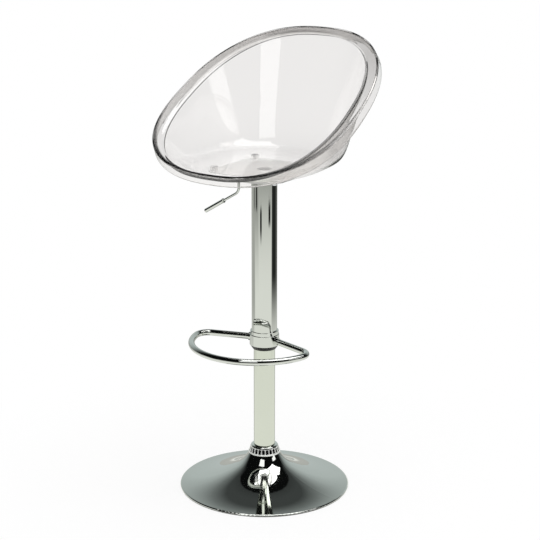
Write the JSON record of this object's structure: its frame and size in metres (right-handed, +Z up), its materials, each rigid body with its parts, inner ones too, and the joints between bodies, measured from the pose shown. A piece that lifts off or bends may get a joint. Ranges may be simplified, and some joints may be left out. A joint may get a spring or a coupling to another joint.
{
  "type": "adjustable bar stool",
  "caption": "Gas-lift bar stool: chromed trumpet base, telescoping column with footrest loop and release lever, and a clear moulded bucket seat that swivels and lifts.",
  "frame": {"origin": "on the floor, at the column's axis", "axes": "+Z up along the column; -Y is the way the sitter faces; -X is the sitter's right, where the lever is"},
  "size_m": [0.5093, 0.4878, 1.0815],
  "materials": {
    "chrome": "bright chrome plate",
    "column_chrome": "chrome plate, slightly softer",
    "plate_steel": "bright zinc on pressed steel",
    "dark_steel": "black paint",
    "black_steel": "smooth black paint",
    "bearing_steel": "ground",
    "zinc_steel": "zinc plate",
    "nylon": "moulded",
    "rubber": "moulded",
    "clear_plastic": "clear polycarbonate, polished"
  },
  "bodies": {
    "base": {"base_dish": "chrome", "floor_ring": "rubber", "ballast_plate": "dark_steel", "column_socket": "dark_steel", "socket_screws": "zinc_steel", "trim_ring": "chrome", "stand_tube": "column_chrome", "tube_foot": "dark_steel", "lower_race": "bearing_steel", "bearing_balls": "bearing_steel", "bearing_cage": "nylon", "guide_bush": "nylon"},
    "rotor": {"upper_race": "bearing_steel", "rod_clip": "zinc_steel", "piston_rod": "bearing_steel", "rod_bumper": "rubber"},
    "seat_carriage": {"gas_cylinder": "black_steel", "sleeve_tube": "chrome", "sleeve_bush": "nylon", "sleeve_spacer": "nylon", "footrest_collar": "chrome", "footrest_loop": "chrome", "collar_screws": "zinc_steel", "taper_hub": "dark_steel", "mechanism_housing": "plate_steel", "seat_plate": "plate_steel", "seat_washers": "zinc_steel", "seat_bolts": "zinc_steel", "seat_inserts": "zinc_steel", "lever_pin": "zinc_steel", "seat_shell": "clear_plastic"},
    "lever": {"lever_rod": "chrome", "lever_grip": "chrome", "lever_cradle": "zinc_steel"},
    "button": {"valve_button": "zinc_steel"}
  },
  "joints": [
    {"name": "seat_swivel", "type": "hinge", "parent": "base", "child": "rotor", "pos_m": [0, 0, 0.02], "axis": [0, 0, 1], "continuous": true},
    {"name": "seat_lift", "type": "slide", "parent": "rotor", "child": "seat_carriage", "axis": [0, 0, 1], "range_m": [-0.21, 0]},
    {"name": "release_lever", "type": "hinge", "parent": "seat_carriage", "child": "lever", "pos_m": [-0.03, 0, 0.7664], "axis": [0, 1, 0], "range_deg": [0, 7], "stiffness_Nm_per_rad": 12, "springref_deg": -5.73},
    {"name": "valve_press", "type": "slide", "parent": "seat_carriage", "child": "button", "axis": [0, 0, -1], "range_m": [0, 0.0038]}
  ],
  "couplings": [
    {"joint": "valve_press", "follows": "release_lever", "m_per_rad": 0.03}
  ]
}
